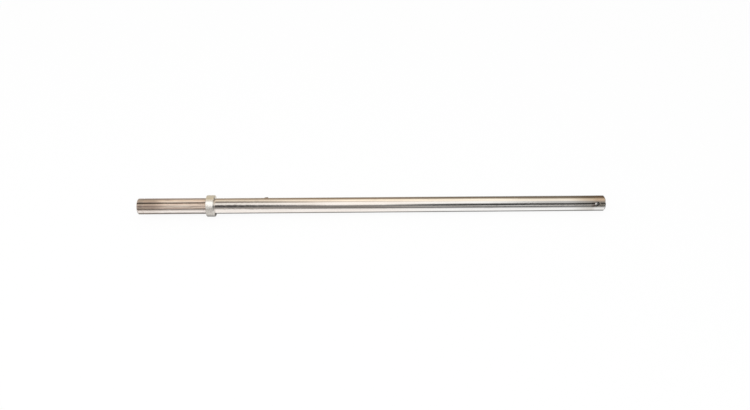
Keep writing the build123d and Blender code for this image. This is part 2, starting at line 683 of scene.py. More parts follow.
    def zones(self, tree: SteelTree, bar: "SplinedBar") -> BarZones:
        """Works out the masks that are used more than once.

        Args:
            tree: The material's tree.
            bar: The bar that wears it.

        Returns:
            The masks.
        """
        distance = tree.group(tree.effects.axis_distance, Place=tree.place)
        splined = tree.between(tree.along, bar.collar_left, bar.collar_right, (1.0, 0.0))
        on_rim = tree.ramp(tree.along, self.rim_reach, bar.plain_end - bar.end_chamfer)
        off_rim = tree.math("SUBTRACT", 1.0, on_rim)
        ragged = tree.ragged_along(self.ragged, self.ragged_reach)
        plain = tree.ramp(ragged, self.plain_reach, bar.plain_end)
        wall = tree.ramp(distance, self.hole_wall, bar.radius)
        return BarZones(
            distance=distance,
            upper=tree.ramp(tree.height, self.upper_height),
            top=tree.ramp(tree.height, self.top_height),
            splined=splined,
            inner=tree.ramp(tree.along, self.inner_reach, bar.ring_groove_end),
            floor=tree.ramp(distance, self.floor_wall, bar.root_radius),
            plain=tree.times(plain, off_rim),
            in_hole=tree.times(wall, tree.math("SUBTRACT", 1.0, splined), off_rim),
            lit_wall=tree.ramp(tree.towards(bar.hole_angle), self.lit_depth),
            haze=tree.clouds(self.haze),
            stain=tree.clouds(self.stain),
        )

    def groove_dirt_and_shade_mask(self, tree: SteelTree, bar: "SplinedBar", zones: BarZones) -> Socket:
        """Masks the dark in the spline's grooves, partly dirt and partly painted shade, thick at the feet
        of every second tooth.

        The angle round the axis is folded onto two teeth, and the dark lies from the first one's foot to
        the groove's middle, where the distance from the axis is near the root, as painted shade with some
        dirt.

        Args:
            tree: The material's tree.
            bar: The bar that wears it.
            zones: The bar's masks.

        Returns:
            The mask.
        """
        folded = tree.math("PINGPONG", tree.math("ARCTAN2", tree.height, tree.across), bar.pitch)
        side = tree.between(folded, *(bar.pitch / 2 + turn for turn in self.dirt_and_shade_border), (1.0, 0.0))
        low = tree.ramp(zones.distance, self.dirt_and_shade_wall, bar.root_radius)
        off_face = tree.ramp(tree.along, self.face_reach, bar.splined_end)
        thinner = self.dirt_and_shade_inside - self.dirt_and_shade_at_tip
        thick = tree.times(tree.ramp(tree.height, self.dirt_and_shade_height),
                           tree.math("MULTIPLY_ADD", zones.inner, thinner, self.dirt_and_shade_at_tip))
        return tree.times(side, low, off_face, thick)

    def painted_front_light(self, tree: SteelTree, bar: "SplinedBar") -> tuple[Socket, Socket]:
        """Masks the painted light along the teeth on the front: a painted dark reflection at the tip and
        two painted highlights.

        Args:
            tree: The material's tree.
            bar: The bar that wears them.

        Returns:
            The painted dark reflection's mask and the painted highlights' mask.
        """
        front = tree.ramp(tree.towards(TO_CAMERA), self.crest_front)
        middle = tree.ramp(tree.math("ABSOLUTE", tree.tilted), self.crest_middle)
        dark_reflection = tree.ramp(tree.along, self.dark_reflection_reach, bar.splined_end)
        long = tree.times(tree.stretch(tree.tilted, self.highlight_tilt),
                          tree.stretch(tree.along, self.long_highlight, bar.splined_end))
        short = tree.times(tree.stretch(tree.along, self.short_highlight, bar.splined_end), middle)
        return tree.times(middle, dark_reflection, front), tree.times(tree.math("MAXIMUM", long, short), front)

    def spline_tone(self, tree: SteelTree, bar: "SplinedBar", zones: BarZones) -> Socket:
        """Colours the splines: tan above, partly tarnish and partly a painted warm reflection; pale below
        with painted shade at the bottom; stained at the tip; dirt and painted shade in the grooves; painted
        highlights and a painted dark reflection on the front.

        Args:
            tree: The material's tree.
            bar: The bar that wears it.
            zones: The bar's masks.

        Returns:
            The colour.
        """
        # Painted shade darkens the underside; the tan on top is partly tarnish, partly a painted warm
        # reflection
        below = tree.ramp(tree.height, self.below_height)
        colour = tree.cover(self.spline_pale, self.spline_under_shade, below)
        colour = tree.cover(colour, self.spline_colour, zones.upper)
        at_tip = tree.math("MULTIPLY_ADD", zones.inner, -self.stain_at_tip, self.stain_at_tip)
        stained = tree.math("MAXIMUM", tree.times(zones.stain, self.stain_inside), at_tip)
        weaker = tree.math("MULTIPLY_ADD", zones.upper, 1.0 - self.stain_below, self.stain_below)
        colour = tree.cover(colour, self.spline_stain, stained, weaker)
        # Painted sheen: warm highlight streaks on the upper teeth
        colour = tree.cover(colour, self.spline_sheen, tree.clouds(self.sheen_streaks), zones.inner, zones.upper)
        # Painted shade: a dark reflection painted along the top edge of the splines
        colour = tree.cover(colour, self.spline_top_edge_shade, tree.ramp(tree.tilted, self.edge_tilt))
        tip = tree.between(tree.along, bar.ring_groove_start, bar.ring_groove_end, (1.0, 0.0))
        colour = tree.cover(colour, self.tip_colour, tip, zones.upper)
        dark_reflection, bright = self.painted_front_light(tree, bar)
        # Painted dark reflection on the front tooth near the tip
        colour = tree.cover(colour, self.front_dark_reflection, dark_reflection)
        # Painted highlights along the front teeth
        colour = tree.cover(colour, self.painted_highlight, bright)
        # Dark in the grooves: partly dirt, partly painted shade in their corners
        return tree.cover(colour, self.groove_dirt_and_shade, self.groove_dirt_and_shade_mask(tree, bar, zones))

    def journal_tone(self, tree: SteelTree, bar: "SplinedBar", zones: BarZones) -> Socket:
        """Colours the journal: hazy, warmer near the collar, dull and browner towards the plain end.

        Args:
            tree: The material's tree.
            bar: The bar that wears it.
            zones: The bar's masks.

        Returns:
            The colour.
        """
        colour = tree.cover(self.journal_colour, self.journal_haze, zones.haze)
        colour = tree.blend(tree.ramp(tree.along, self.warm_along), colour, self.warm_tint, "MULTIPLY")
        dull = tree.ramp(tree.along, self.dull_reach, bar.plain_end)
        colour = tree.blend(dull, colour, tree.cover(self.dull_colour, self.dull_top, zones.top))
        end = tree.cover(self.end_grey, self.end_colour, zones.top)
        colour = tree.blend(zones.plain, colour, tree.blend(zones.upper, self.end_pale, end))
        near_hole = tree.stretch(tree.along, self.smudge_reach, bar.hole_along)
        facing = tree.stretch(tree.height, self.smudge_height)
        colour = tree.cover(colour, self.smudge_colour, near_hole, facing, tree.clouds(self.blots))
        return tree.cover(colour, self.burr_colour, tree.ramp(zones.distance, self.burr_wall, bar.radius))

    def roughness(self, tree: SteelTree, zones: BarZones) -> Socket:
        """Works out the roughness: low on the journal, higher where it is stained, dull or drilled.

        Args:
            tree: The material's tree.
            zones: The bar's masks.

        Returns:
            The roughness.
        """
        journal = tree.math("MULTIPLY_ADD", zones.haze, self.haze_roughness, self.journal_roughness)
        journal = tree.mix(zones.plain, journal, self.end_roughness)
        worn = tree.math("MULTIPLY_ADD", zones.stain, self.stain_roughness, self.spline_roughness)
        worn = tree.mix(zones.floor, worn, self.floor_roughness)
        return tree.mix(zones.in_hole, tree.mix(zones.splined, journal, worn), self.hole_roughness)

    def metal(self, tree: SteelTree, bar: "SplinedBar", zones: BarZones) -> Socket:
        """Works out how metallic the surface is: fully on the journal, less under dirt and tarnish.

        Args:
            tree: The material's tree.
            bar: The bar that wears it.
            zones: The bar's masks.

        Returns:
            The share of metal.
        """
        flank = tree.ramp(zones.distance, self.flank_wall, bar.radius)
        worn = tree.mix(zones.floor, tree.mix(flank, self.spline_metal, self.flank_metal), self.floor_metal)
        hole = tree.times(zones.lit_wall, self.lit_wall_metal)
        return tree.mix(zones.in_hole, tree.mix(zones.splined, 1.0, worn), hole)

    def surface(self, tree: SteelTree) -> Socket:
        """Lays tool lines, long waves and short ripples on the bar, the ripples strongest where rubbed.

        Args:
            tree: The material's tree.

        Returns:
            The normal.
        """
        lines = tree.group(tree.effects.tool_lines, Place=tree.place, Pitch=self.line_pitch)
        normal = tree.relief(lines, self.line_depth)
        normal = tree.relief(tree.clouds(self.wave), self.wave_depth, normal)
        rubbed = tree.stretch(tree.along, self.rubbed_along)
        strength = tree.math("MULTIPLY_ADD", rubbed, self.ripple_rubbed, self.ripple_everywhere)
        strength = tree.math("MULTIPLY_ADD", tree.clouds(self.patchy), self.ripple_patchy, strength)
        return tree.relief(tree.times(tree.clouds(self.ripple), strength), self.ripple_depth, normal)

    def make(self, effects: Effects, bar: "SplinedBar") -> bpy.types.Material:
        """Builds the bar's material.

        Args:
            effects: The shared node groups.
            bar: The bar that wears it, for where its zones lie.

        Returns:
            The material.
        """
        tree = SteelTree("bar_steel", effects)
        zones = self.zones(tree, bar)
        journal, splines = self.journal_tone(tree, bar, zones), self.spline_tone(tree, bar, zones)
        # Painted shade on the cross hole's drilled half, painted light on its far half as if lit through
        # the far mouth
        hole = tree.cover(self.hole_shade, self.hole_lit, zones.lit_wall)
        colour = tree.blend(zones.in_hole, tree.blend(zones.splined, journal, splines), hole)
        metal = self.metal(tree, bar, zones)
        return tree.complete(colour, self.roughness(tree, zones), metal, self.surface(tree))


@dataclass(frozen=True)
class CollarFinish:
    """Satin, grainy, off-white metal with dark pits outside, ground faces and a rim polished by wear, with
    painted shade on its top, underside and lower side faces, and a painted highlight band.

    Tilt is measured from the axis up and back, at 45 degrees, which is up in the camera's picture.
    """

    face_colour: Colour = (1.0, 0.97, 0.92)
    mottle_colour: Coat = Coat((0.77, 0.72, 0.65))
    # Painted shade on the underside, the top and the lowest band
    under_shade: Coat = Coat((0.56, 0.525, 0.48), 0.9)
    top_shade: Coat = Coat((0.76, 0.68, 0.53), 0.95)
    lowest_shade: Coat = Coat((0.27, 0.26, 0.24), 0.7)
    pit_colour: Coat = Coat((0.24, 0.22, 0.19))
    side_colour: Colour = (0.76, 0.735, 0.695)
    # Painted shade on the lower side faces
    side_under_shade: Coat = Coat((0.56, 0.525, 0.48), 0.6)
    roughness: float = 0.33
    mottle_roughness: float = 0.12
    side_roughness: float = 0.14
    metal: float = 0.45
    # Metal of the painted highlight band and of the painted shade band
    highlight_band_metal: float = 0.10
    shade_band_metal: float = 0.75
    pits_above: float = 0.15
    pits_below: float = 0.85
    grain_depth: float = 0.32 * MILLI
    ragged_reach: float = 0.8 * MILLI

    lower_tilt: Ramp = Ramp(-2.0, 4.0, 1.0, 0.15)
    under_tilt: Ramp = Ramp(-6.0, -0.5, 1.0, 0.0)
    lowest_tilt: Ramp = Ramp(-15.8, -13.8, 1.0, 0.0)
    top_tilt: Ramp = Ramp(6.5, 12.5)
    highlight_band_tilt: Stretch = Stretch(-2.0, 3.0, 5.5, 8.0)
    shade_band_tilt: Stretch = Stretch(6.0, 8.5, 11.5, 14.0)
    polished_tilt: Ramp = Ramp(12.5, 14.5, 1.0, 0.15)
    # From the collar's journal side, and from its splined side
    polished_reach: Ramp = Ramp(-2.5, -1.9)
    side_reach: Ramp = Ramp(0.05, 0.35, 1.0, 0.0)

    ragged: Patches = Patches(1.5, 1.0, 3.0, 0.2, 0.8)
    mottle: Patches = Patches(2.6, 1.0, 5.0, 0.35, 0.7)
    pits: Patches = Patches(1.3, 1.0, 3.0, 0.55, 0.68)
    grain: Patches = Patches(1.6, 1.0, 6.0, 0.1, 0.9)

    def make(self, effects: Effects, collar: "StopCollar") -> bpy.types.Material:
        """Builds the collar's material.

        Args:
            effects: The shared node groups.
            collar: The collar that wears it, for where its side faces lie.

        Returns:
            The material.
        """
        tree = SteelTree("collar_steel", effects)
        ragged = tree.ragged_along(self.ragged, self.ragged_reach)
        polished = tree.ramp(ragged, self.polished_reach, collar.right)
        flat_on = tree.ramp(tree.math("ABSOLUTE", tree.tilted), self.polished_tilt)
        side = tree.ramp(tree.along, self.side_reach, collar.left)
        side = tree.math("MAXIMUM", side, tree.times(polished, flat_on))
        lower, under = tree.ramp(tree.tilted, self.lower_tilt), tree.ramp(tree.tilted, self.under_tilt)
        mottle = tree.clouds(self.mottle)
        # Mottle and pits lie mostly on the lower half, partly grain and partly painted shade
        colour = tree.cover(self.face_colour, self.mottle_colour, mottle, lower)
        # Painted shade on the underside, the top and the lowest band
        colour = tree.cover(colour, self.under_shade, under)
        colour = tree.cover(colour, self.top_shade, tree.ramp(tree.tilted, self.top_tilt))
        colour = tree.cover(colour, self.lowest_shade, tree.ramp(tree.tilted, self.lowest_tilt))
        pitted = tree.math("MULTIPLY_ADD", lower, self.pits_below - self.pits_above, self.pits_above)
        colour = tree.cover(colour, self.pit_colour, tree.clouds(self.pits), pitted)
        colour = tree.blend(side, colour, tree.cover(self.side_colour, self.side_under_shade, under))
        rough = tree.math("MULTIPLY_ADD", mottle, self.mottle_roughness, self.roughness)
        rough = tree.mix(side, rough, self.side_roughness)
        # Painted highlight and shade through metal: less metal brightens a band just above the axis as seen
        # from the camera, more metal darkens the band above it
        metal = tree.mix(tree.stretch(tree.tilted, self.highlight_band_tilt), self.metal, self.highlight_band_metal)
        metal = tree.mix(tree.stretch(tree.tilted, self.shade_band_tilt), metal, self.shade_band_metal)
        metal = tree.mix(side, metal, 1.0)
        height = tree.times(tree.clouds(self.grain), tree.math("SUBTRACT", 1.0, side))
        return tree.complete(colour, rough, metal, tree.relief(height, self.grain_depth))


class Side(Enum):
    """The two mouths of the cross hole, and the turn round the axis from the drilled side."""

    NEAR = 0.0
    FAR = np.pi


@dataclass
class SplinedBar:
    """The bar: straight-sided splines, ring groove, journal, cross hole and centre-drilled ends."""

    LEAST_SINE = 1e-6

    radius: float
    splined_end: float
    plain_end: float
    collar_left: float
    collar_right: float
    hole_along: float
    hole_angle: float
    hole_radius: float
    # Splines
    tooth_count: int = 8
    tooth_width: float = 5.6 * MILLI
    tooth_depth: float = 1.5875 * MILLI
    crest_break: float = 0.3 * MILLI
    root_rounding: float = 0.35 * MILLI
    hob_radius: float = 31.75 * MILLI
    # Seat under the collar, whose two steps lean a little
    seat_step: float = 0.2 * MILLI
    step_lean: float = 0.02 * MILLI
    # Ends, with their centre-drilled holes
    end_chamfer: float = 1.6 * MILLI
    edge_rounding: float = 0.22 * MILLI
    centre_cone_radius: float = 3.175 * MILLI
    centre_pilot_radius: float = 1.5875 * MILLI
    centre_pilot_depth: float = 4.0 * MILLI
    centre_half_angle: float = radians(30.0)
    # Retaining-ring groove; its walls lean a little, and the land beside it is drawn with it
    ring_groove_offset: float = 9.5 * MILLI
    ring_groove_width: float = 1.4 * MILLI
    ring_groove_depth: float = 0.76 * MILLI
    groove_rounding: float = 0.12 * MILLI
    groove_lean: float = 0.05 * MILLI
    groove_land: float = 0.4 * MILLI
    # Cross hole
    countersink_depth: float = 0.79375 * MILLI
    settling_rounds: int = 12
    # Burr on the journal: where it is, its form, and how far its close rows reach
    burr_along: float = 82.0 * MILLI
    burr_angle: float = radians(47.0)
    burr_height: float = 0.85 * MILLI
    burr_width: float = 2.2 * MILLI
    burr_rise: Ramp = Ramp(-6.4, -0.2)
    burr_fall: Ramp = Ramp(1.6, 3.4, 1.0, 0.0)
    burr_before: float = 7.0 * MILLI
    burr_after: float = 4.0 * MILLI
    # Lines of the mesh along the bar; a tooth's flank lies between two angles from its middle, and
    # takes the lines between two shares of half a tooth's
    lines_round: int = 320
    flank_angles: tuple[float, float] = (radians(12.0), radians(15.3))
    flank_shares: tuple[float, float] = (0.3, 0.8)
    # Rows of the mesh round the bar, both ends of each stretch counted
    rows_to_groove: int = 6
    rows_over_teeth: int = 30
    rows_over_run_out: int = 22
    rows_to_shoulder: int = 7
    rows_to_burr: int = 8
    rows_over_burr: int = 41
    rows_to_hole: int = 44
    rows_to_end: int = 6
    run_out_margin: float = 0.2 * MILLI
    # Windows left open round the cross hole's mouths, and the rings that fill them
    window_columns: int = 26
    window_rows: int = 7
    window_step: float = 1.0 * MILLI
    mouth_rings: int = 9
    cone_rings: int = 4
    wall_rings: int = 13
    # Points for a rounded corner of an end and of the groove, and the turn that is drawn sharp
    corner_steps: int = 5
    groove_steps: int = 4
    sharp_degrees: float = 24.0

    @property
    def root_radius(self) -> float:
        """Radius at the bottom of the spline's grooves."""
        return self.radius - self.tooth_depth

    @property
    def seat_radius(self) -> float:
        """Radius of the seat under the collar."""
        return self.radius + self.seat_step

    @property
    def ring_groove_start(self) -> float:
        """Place along the axis of the ring groove's outer wall."""
        return self.splined_end + self.ring_groove_offset

    @property
    def ring_groove_end(self) -> float:
        """Place along the axis of the ring groove's inner wall."""
        return self.ring_groove_start + self.ring_groove_width

    @property
    def pitch(self) -> float:
        """Angle from one tooth to the next."""
        return 2.0 * np.pi / self.tooth_count

    @property
    def line_step(self) -> float:
        """Angle from one of the journal's lines to the next."""
        return 2.0 * np.pi / self.lines_round

    @property
    def countersink_foot(self) -> float:
        """Height on the cross hole's axis at which its countersink ends."""
        return self.radius - self.countersink_depth

    @property
    def run_out_end(self) -> float:
        """Where the hob's arc leaves the bar, under the collar.

        The arc has risen by its radius less its radius times the cosine of its turn, and has gone on by
        its radius times the sine.

        Returns:
            The place along the axis.
        """
        rise = self.seat_radius - self.root_radius
        turn = acos((self.hob_radius - rise) / self.hob_radius)
        return self.collar_left + self.hob_radius * sin(turn)

    def section(self, angle: np.ndarray, crest: np.ndarray) -> np.ndarray:
        """Radius of the spline's cross section.

        With phi the angle from the nearest tooth's middle, a tooth is the least of the crest's radius,
        half the tooth's width over sine phi for its flank, and a 45 degree line past its crest corner.
        The root circle is taken with it by the rounded maximum.

        Args:
            angle: Angles round the axis.
            crest: Radius of the teeth's crests at each row.

        Returns:
            The radius at each row and angle.
        """
        phi = np.abs((angle + self.pitch / 2) % self.pitch - self.pitch / 2)
        half = self.tooth_width / 2
        crest_reach = np.sqrt(crest**2 - half**2) + half - self.crest_break
        flank = half / np.maximum(np.sin(phi), self.LEAST_SINE)
        chamfer = crest_reach / (np.cos(phi) + np.sin(phi))
        tooth = np.minimum(np.minimum(crest, flank), chamfer)
        root = np.full_like(tooth, self.root_radius)
        return np.minimum(smooth_maximum(tooth, root, self.root_rounding), crest)

    def hob_arc(self, along: np.ndarray) -> np.ndarray:
        """Radius of the grooves' floor: the root circle, and the hob's arc past the collar's face.

        The floor rises by R - square root of (R squared - d squared), with R the hob's radius and d the
        distance past the face.

        Args:
            along: Places along the axis.

        Returns:
            The floor's radius at each place.
        """
        past = np.clip(along - self.collar_left, 0.0, self.hob_radius)
        return self.root_radius + self.hob_radius - np.sqrt(self.hob_radius**2 - past**2)

    def spline_lines(self) -> np.ndarray:
        """Works out the mesh's lines over the splines: close together on the flanks, even elsewhere.

        Over half a tooth, the angle is a broken line from its middle by the flank's two ends to the
        groove's middle. The other half mirrors it, and every tooth repeats it.

        Returns:
            The lines' angles.
        """
        half_lines = self.lines_round // self.tooth_count // 2
        knots = np.array([0.0, *self.flank_shares, 1.0]) * half_lines
        half = np.interp(np.arange(half_lines), knots, [0.0, *self.flank_angles, self.pitch / 2])
        tooth = np.concatenate((half, self.pitch - np.append(half, self.pitch / 2)[:0:-1]))
        return (tooth[None, :] + self.pitch * np.arange(self.tooth_count)[:, None]).ravel()

    def journal_lines(self) -> np.ndarray:
        """Returns the mesh's lines over the journal: even, with one through the cross hole's middle."""
        offset = self.hole_angle - round(self.hole_angle / self.line_step) * self.line_step
        return np.arange(self.lines_round) * self.line_step + offset

    def end_outline(self) -> np.ndarray:
        """Draws one end's outline as depth from its face and radius, from the axis to the chamfer's top.

        The cone's depth is its loss of radius over the tangent of its half angle, and the pilot ends in
        a point as deep as its radius times that tangent.

        Returns:
            The points, as count by 2.
        """
        slope = tan(self.centre_half_angle)
        cone_depth = (self.centre_cone_radius - self.centre_pilot_radius) / slope
        bottom = cone_depth + self.centre_pilot_depth
        small = self.edge_rounding / 2
        corners = (
            (bottom + self.centre_pilot_radius * slope, 0.0, 0.0),
            (bottom, self.centre_pilot_radius, small),
            (cone_depth, self.centre_pilot_radius, small),
            (0.0, self.centre_cone_radius, self.edge_rounding),
            (0.0, self.radius - self.end_chamfer, self.edge_rounding),
            (self.end_chamfer, self.radius, self.edge_rounding),
            (self.end_chamfer + 2 * self.edge_rounding, self.radius, 0.0),
        )
        return with_supports(rounded_corners(corners, self.corner_steps), self.edge_rounding / 2)

    def groove_outline(self) -> np.ndarray:
        """Draws the ring groove's outline as place along the axis and radius, with nearly upright walls.

        Returns:
            The points, as count by 2.
        """
        floor = self.radius - self.ring_groove_depth
        start, end = self.ring_groove_start, self.ring_groove_end
        corners = (
            (start - self.groove_land, self.radius, 0.0),
            (start, self.radius, self.groove_rounding),
            (start + self.groove_lean, floor, self.groove_rounding),
            (end - self.groove_lean, floor, self.groove_rounding),
            (end, self.radius, self.groove_rounding),
            (end + self.groove_land, self.radius, 0.0),
        )
        return rounded_corners(corners, self.groove_steps)

    def rows(self) -> tuple[np.ndarray, np.ndarray, int]:
        """Works out every row of the mesh, from pole to pole: the two ends, the groove, and even rows.

        Returns:
            The places, the radii, and the number of the row through the cross hole's middle.
        """
        end = self.end_outline()
        left = np.stack((self.splined_end + end[:, 0], end[:, 1]), axis=1)
        right = np.stack((self.plain_end - end[:, 0], end[:, 1]), axis=1)[::-1]
        groove = self.groove_outline()
        chamfer_rows = np.linspace(left[-1, 0], groove[0, 0], self.rows_to_groove)[1:-1]
        tooth_rows = np.linspace(groove[-1, 0], self.collar_left, self.rows_over_teeth)[1:]
        run_out = (self.collar_left + self.step_lean, self.run_out_end + self.run_out_margin)
        run_out_rows = np.linspace(*run_out, self.rows_over_run_out)
        shift_rows = np.linspace(run_out[1], self.collar_right - self.step_lean, self.rows_to_shoulder)[1:]
        burr = (self.burr_along - self.burr_before, self.burr_along + self.burr_after)
        burr_rows = np.linspace(*burr, self.rows_over_burr)
        before_burr = np.linspace(self.collar_right, burr[0], self.rows_to_burr)[:-1]
        hole_rows = self.hole_along + np.arange(-self.window_rows, self.window_rows + 1) * self.window_step
        after_burr = np.linspace(burr[1], hole_rows[0], self.rows_to_hole)[1:-1]
        last_rows = np.linspace(hole_rows[-1], right[0, 0], self.rows_to_end)[1:-1]
        middle = np.concatenate((tooth_rows, run_out_rows, shift_rows, before_burr, burr_rows, after_burr,
                                 hole_rows, last_rows))
        seated = (middle > self.collar_left) & (middle < self.collar_right)
        level = np.stack((middle, self.radius + self.seat_step * seated), axis=1)
        start = np.stack((chamfer_rows, np.full_like(chamfer_rows, self.radius)), axis=1)
        every = np.concatenate((left, start, groove, level, right))
        hole_row = int(np.argmin(np.abs(every[:, 0] - self.hole_along) + (every[:, 1] < self.radius)))
        return every[:, 0], every[:, 1], hole_row

    def burr(self, along: np.ndarray, angle: np.ndarray) -> np.ndarray:
        """Works out the height of a small burr: a slow rise to the left, a quick fall to the right.

        Two ramps along the axis times a bell across it, exp of minus (distance over width) squared.

        Args:
            along: Places along the axis.
            angle: Angles round the axis.

        Returns:
            The height at each point.
        """
        u = along - self.burr_along
        ridge = self.burr_rise.over(u) * self.burr_fall.over(u)
        across = (angle - self.burr_angle) * self.radius / self.burr_width
        return self.burr_height * ridge * np.exp(-across * across)

    def main_patch(self, skin: Skin) -> None:
        """Adds the whole bar but for the two windows round the cross hole's mouths.

        Radius is the lesser of the turned outline and, up to the run-out, the greater of the tooth
        section and the hob's arc. Past it, the lines swing smoothly from the splines' to the journal's.

        Args:
            skin: The surface that takes the patch.
        """
        places, turned, hole_row = self.rows()
        along, turned = places[:, None], turned[:, None]
        past = smooth_step((along - self.run_out_end) / (self.collar_right - self.run_out_end))
        lines = mixed(self.spline_lines(), self.journal_lines(), past)
        cut = np.maximum(self.section(lines, np.maximum(turned, self.radius)), self.hob_arc(along))
        radius = np.where(along < self.run_out_end, np.minimum(turned, cut), turned)
        grid = turned_points(along, radius + self.burr(along, lines), lines)
        grid = np.concatenate((grid, grid[:, :1]), axis=1)
        drop = np.zeros((grid.shape[0] - 1, grid.shape[1] - 1), dtype=bool)
        for side in Side:
            middle = round((self.hole_angle + side.value) / self.line_step)
            reach = np.arange(-self.window_columns, self.window_columns)
            rows = np.arange(hole_row - self.window_rows, hole_row + self.window_rows)
            drop[np.ix_(rows, (middle + reach) % self.lines_round)] = True
        skin.add_patch(grid, drop)

    def window_edge(self) -> tuple[np.ndarray, np.ndarray]:
        """Goes once round a window's edge, by its two rows and two lines of points.

        Returns:
            Each point's distance along the axis and its angle, both from the window's middle.
        """
        reach = self.window_rows * self.window_step
        turn = self.window_columns * self.line_step
        u = np.linspace(-reach, reach, 2 * self.window_rows + 1)
        a = np.linspace(-turn, turn, 2 * self.window_columns + 1)
        along = np.concatenate((u, np.full(len(a) - 1, reach), u[::-1][1:], np.full(len(a) - 1, -reach)))
        angle = np.concatenate((np.full(len(u), -turn), a[1:], np.full(len(u) - 1, turn), a[::-1][1:]))
        return along, angle

    def edge_directions(self) -> np.ndarray:
        """Returns the directions of a window edge's points, seen from the cross hole's axis."""
        edge_along, edge_angle = self.window_edge()
        return np.arctan2(edge_angle * self.radius, edge_along)

    def mouth_radius(self, direction: np.ndarray) -> np.ndarray:
        """Works out how far from the hole's axis the countersink's cone meets the bar's surface.

        The cone's radius is the hole's plus its height over the cone's foot, and on the bar that height
        is the square root of (bar radius squared - sideways squared); a few rounds settle it.

        Args:
            direction: Directions round the hole's axis, from the shaft's axis.

        Returns:
            The distance in each direction.
        """
        reach = np.full_like(direction, self.hole_radius + self.countersink_depth)
        for _ in range(self.settling_rounds):
            height = np.sqrt(self.radius**2 - (reach * np.sin(direction)) ** 2)
            reach = self.hole_radius + height - self.countersink_foot
        return reach

    def hole_points(self, reach: np.ndarray, direction: np.ndarray, height: np.ndarray,
                    side: Side) -> np.ndarray:
        """Places points of the cross hole by the hole's own axis.

        From the hole's middle: reach times cosine along the shaft, reach times sine sideways, and the
        height outwards.

        Args:
            reach: Distances from the hole's axis.
            direction: Directions round it, from the shaft's axis.
            height: Heights along it, from the shaft's axis.
            side: The mouth towards which heights are counted.

        Returns:
            The points.
        """
        turn = self.hole_angle + side.value
        outward = np.array((0.0, cos(turn), sin(turn)))
        sideways = np.array((0.0, -sin(turn), cos(turn)))
        centre = np.array((self.hole_along, 0.0, 0.0))
        u = (reach * np.cos(direction))[..., None] * np.array((1.0, 0.0, 0.0))
        v = (reach * np.sin(direction))[..., None] * sideways
        return centre + u + v + height[..., None] * outward

    def mouth_patch(self, skin: Skin, side: Side) -> None:
        """Adds one mouth: rings from the window's edge in to the countersink, and down its cone.

        A point of a ring is the straight mix, on the unrolled surface, of the window's edge and the
        countersink's rim in the same direction.

        Args:
            skin: The surface that takes the patch.
            side: Which mouth it is.
        """
        edge_along, edge_angle = self.window_edge()
        direction = self.edge_directions()
        rim = self.mouth_radius(direction)
        rim_along = rim * np.cos(direction)
        rim_angle = np.arcsin(rim * np.sin(direction) / self.radius)
        share = np.linspace(0.0, 1.0, self.mouth_rings)[:, None]
        along = self.hole_along + mixed(edge_along, rim_along, share)
        angle = self.hole_angle + side.value + mixed(edge_angle, rim_angle, share)
        skin.add_patch(turned_points(along, np.full_like(along, self.radius), angle))
        share = np.linspace(0.0, 1.0, self.cone_rings)[:, None]
        rim_height = np.sqrt(self.radius**2 - (rim * np.sin(direction)) ** 2)
        reach = mixed(rim, self.hole_radius, share)
        height = mixed(rim_height, self.countersink_foot, share)
        skin.add_patch(self.hole_points(reach, direction, height, side))

    def hole_wall(self, skin: Skin) -> None:
        """Adds the drilled wall between the two countersinks: a plain tube.

        Args:
            skin: The surface that takes the patch.
        """
        direction = self.edge_directions()
        ends = (self.countersink_foot, -self.countersink_foot)
        height = np.linspace(*ends, self.wall_rings)[:, None] + 0 * direction
        reach = np.full_like(height, self.hole_radius)
        skin.add_patch(self.hole_points(reach, direction, height, Side.NEAR))

    def build(self, effects: Effects) -> bpy.types.Object:
        """Makes the bar, dresses it and puts it in the place of the shaft node.

        Args:
            effects: The shared node groups.

        Returns:
            The bar's object.
        """
        skin = Skin()
        self.main_patch(skin)
        for side in Side:
            self.mouth_patch(skin, side)
        self.hole_wall(skin)
        piece = skin.make_object("splined_bar", self.sharp_degrees)
        piece.data.materials.append(BarFinish().make(effects, self))
        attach(piece, "root")
        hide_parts("shaft")
        log.info("splined_bar: %d faces", len(piece.data.polygons))
        return piece


